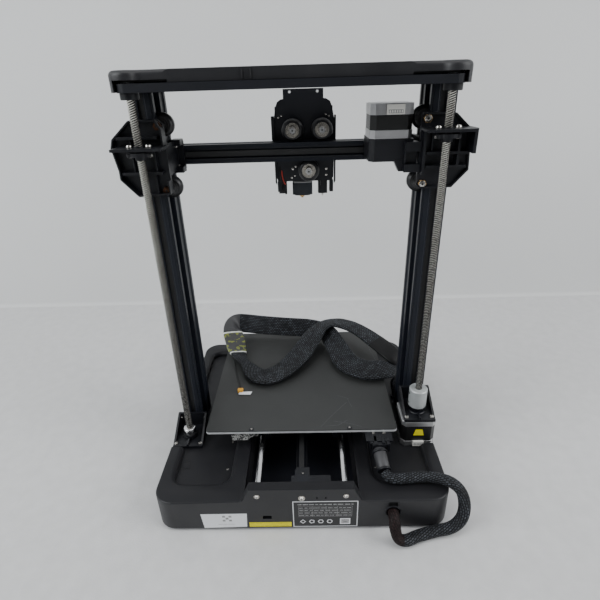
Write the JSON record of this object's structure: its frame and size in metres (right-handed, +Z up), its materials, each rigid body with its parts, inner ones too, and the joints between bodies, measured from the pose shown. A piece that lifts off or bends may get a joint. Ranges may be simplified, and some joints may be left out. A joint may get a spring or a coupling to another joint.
{
  "type": "fdm printer",
  "caption": "Open-frame desktop filament printer with a moulded base, a moving bed, twin lead screws and an X gantry carrying the print head.",
  "frame": {"origin": "middle of the footprint, on the surface that the feet stand on", "axes": "+Z up, +Y towards the printer's rear, +X towards the side with the plain foot bracket"},
  "size_m": [0.3663, 0.3518, 0.4705],
  "materials": {
    "black_plastic": "satin moulded black plastic",
    "matte_plastic": "matte moulded black plastic",
    "anodised": "black anodised aluminium extrusion",
    "painted_steel": "black powder-coated steel",
    "aluminium": "bare satin aluminium",
    "steel": "bright rolled steel",
    "chrome": "hard chrome",
    "brass": "turned brass",
    "motor": "black laminations between cast end bells",
    "sheet": "dark grey fine-textured sheet",
    "rubber": "black rubber",
    "wheel": "hard black polymer",
    "foam": "speckled grey foam",
    "braid": "black braided sleeving",
    "circuit": "green circuit board",
    "silicone": "dark slate silicone",
    "connector": "orange moulded connector"
  },
  "bodies": {
    "base": {"side_cover_left": "black_plastic", "side_cover_right": "black_plastic", "rear_panel": "black_plastic", "front_panel": "black_plastic", "bottom_plate": "painted_steel", "y_rod_left": "chrome", "y_rod_right": "chrome", "y_motor": "motor", "y_belt": "rubber", "y_idler_block": "painted_steel", "mainboard": "circuit", "power_supply": "aluminium", "upright_left": "anodised", "upright_right": "anodised", "top_beam": "painted_steel", "top_cover": "black_plastic", "z_motor": "motor", "z_motor_bracket": "painted_steel", "left_foot_bracket": "matte_plastic", "sync_belt": "rubber", "bed_cable": "braid", "harness": "braid", "harness_plug": "matte_plastic"},
    "bed": {"bed_plate": "aluminium", "build_sheet": "sheet", "bed_foam": "foam", "y_carriage": "painted_steel", "cable_clamp": "matte_plastic", "tag_lead": "rubber", "tag_connector": "connector"},
    "x_gantry": {"x_beam": "anodised", "bracket_left": "matte_plastic", "bracket_right": "matte_plastic", "nut_left": "matte_plastic", "nut_right": "matte_plastic", "x_motor": "motor", "x_motor_bracket": "matte_plastic", "x_belt": "rubber"},
    "print_head": {"carriage_plate": "painted_steel", "head_cover": "black_plastic", "hot_end": "silicone", "nozzle": "brass", "probe_body": "matte_plastic", "extruder_motor": "motor"},
    "probe_pin": {"probe_pin": "steel"},
    "cooling_fan": {"cooling_fan": "matte_plastic"},
    "tension_knob": {"tension_knob": "matte_plastic"},
    "power_switch": {"power_switch": "matte_plastic"},
    "leadscrew_left": {"leadscrew_left": "steel"},
    "leadscrew_right": {"leadscrew_right": "steel", "coupler": "aluminium"},
    "z_wheel_left_upper": {"z_wheel_left_upper": "wheel"},
    "z_wheel_left_lower": {"z_wheel_left_lower": "wheel"},
    "z_wheel_left_outer": {"z_wheel_left_outer": "wheel"},
    "z_wheel_right_upper": {"z_wheel_right_upper": "wheel"},
    "z_wheel_right_lower": {"z_wheel_right_lower": "wheel"},
    "z_wheel_right_outer": {"z_wheel_right_outer": "wheel"},
    "carriage_wheel_1": {"carriage_wheel_1": "wheel"},
    "carriage_wheel_2": {"carriage_wheel_2": "wheel"},
    "carriage_wheel_3": {"carriage_wheel_3": "wheel"}
  },
  "joints": [
    {"name": "y_slide", "type": "slide", "parent": "base", "child": "bed", "axis": [0, 1, 0], "range_m": [-0.138, 0.082], "deforming": ["bed_cable", "harness"]},
    {"name": "z_slide", "type": "slide", "parent": "base", "child": "x_gantry", "axis": [0, 0, 1], "range_m": [-0.2505, 0.008]},
    {"name": "x_slide", "type": "slide", "parent": "x_gantry", "child": "print_head", "axis": [1, 0, 0], "range_m": [-0.102, 0.117]},
    {"name": "probe_pin_slide", "type": "slide", "parent": "print_head", "child": "probe_pin", "axis": [0, 0, 1], "range_m": [0, 0.0025], "stiffness_N_per_m": 40, "springref_m": -0.001},
    {"name": "cooling_fan_spin", "type": "hinge", "parent": "print_head", "child": "cooling_fan", "pos_m": [-0.0118, -0.084, 0.402], "axis": [0, 1, 0], "continuous": true},
    {"name": "tension_knob_turn", "type": "hinge", "parent": "x_gantry", "child": "tension_knob", "pos_m": [0.168, -0.02055, 0.3882], "axis": [1, 0, 0], "range_deg": [-360, 360]},
    {"name": "power_switch_rock", "type": "hinge", "parent": "base", "child": "power_switch", "pos_m": [0.163, -0.09, 0.0218], "axis": [0, 0, 1], "range_deg": [0, 16]},
    {"name": "leadscrew_left_turn", "type": "hinge", "parent": "base", "child": "leadscrew_left", "pos_m": [0.1468, 0.05595, 0], "axis": [0, 0, 1], "continuous": true},
    {"name": "leadscrew_right_turn", "type": "hinge", "parent": "base", "child": "leadscrew_right", "pos_m": [-0.1468, 0.05595, 0], "axis": [0, 0, 1], "continuous": true},
    {"name": "z_wheel_left_upper_roll", "type": "hinge", "parent": "x_gantry", "child": "z_wheel_left_upper", "pos_m": [0.131, 0.02045, 0.4225], "axis": [0, 1, 0], "continuous": true},
    {"name": "z_wheel_left_lower_roll", "type": "hinge", "parent": "x_gantry", "child": "z_wheel_left_lower", "pos_m": [0.131, 0.02045, 0.3605], "axis": [0, 1, 0], "continuous": true},
    {"name": "z_wheel_left_outer_roll", "type": "hinge", "parent": "x_gantry", "child": "z_wheel_left_outer", "pos_m": [0.1626, 0.02045, 0.39], "axis": [0, 1, 0], "continuous": true},
    {"name": "z_wheel_right_upper_roll", "type": "hinge", "parent": "x_gantry", "child": "z_wheel_right_upper", "pos_m": [-0.131, 0.02045, 0.4225], "axis": [0, 1, 0], "continuous": true},
    {"name": "z_wheel_right_lower_roll", "type": "hinge", "parent": "x_gantry", "child": "z_wheel_right_lower", "pos_m": [-0.131, 0.02045, 0.3605], "axis": [0, 1, 0], "continuous": true},
    {"name": "z_wheel_right_outer_roll", "type": "hinge", "parent": "x_gantry", "child": "z_wheel_right_outer", "pos_m": [-0.1626, 0.02045, 0.39], "axis": [0, 1, 0], "continuous": true},
    {"name": "carriage_wheel_1_roll", "type": "hinge", "parent": "print_head", "child": "carriage_wheel_1", "pos_m": [0.0012, -0.02055, 0.41], "axis": [0, 1, 0], "continuous": true},
    {"name": "carriage_wheel_2_roll", "type": "hinge", "parent": "print_head", "child": "carriage_wheel_2", "pos_m": [-0.0313, -0.02055, 0.41], "axis": [0, 1, 0], "continuous": true},
    {"name": "carriage_wheel_3_roll", "type": "hinge", "parent": "print_head", "child": "carriage_wheel_3", "pos_m": [-0.016, -0.02055, 0.3665], "axis": [0, 1, 0], "continuous": true}
  ],
  "couplings": [
    {"joint": "leadscrew_left_turn", "follows": "z_slide", "rad_per_m": -785.4},
    {"joint": "leadscrew_right_turn", "follows": "z_slide", "rad_per_m": -785.4},
    {"joint": "z_wheel_left_upper_roll", "follows": "z_slide", "rad_per_m": 86.957},
    {"joint": "z_wheel_left_lower_roll", "follows": "z_slide", "rad_per_m": 86.957},
    {"joint": "z_wheel_left_outer_roll", "follows": "z_slide", "rad_per_m": -86.957},
    {"joint": "z_wheel_right_upper_roll", "follows": "z_slide", "rad_per_m": -86.957},
    {"joint": "z_wheel_right_lower_roll", "follows": "z_slide", "rad_per_m": -86.957},
    {"joint": "z_wheel_right_outer_roll", "follows": "z_slide", "rad_per_m": 86.957},
    {"joint": "carriage_wheel_1_roll", "follows": "x_slide", "rad_per_m": 83.333},
    {"joint": "carriage_wheel_2_roll", "follows": "x_slide", "rad_per_m": 83.333},
    {"joint": "carriage_wheel_3_roll", "follows": "x_slide", "rad_per_m": -83.333}
  ]
}
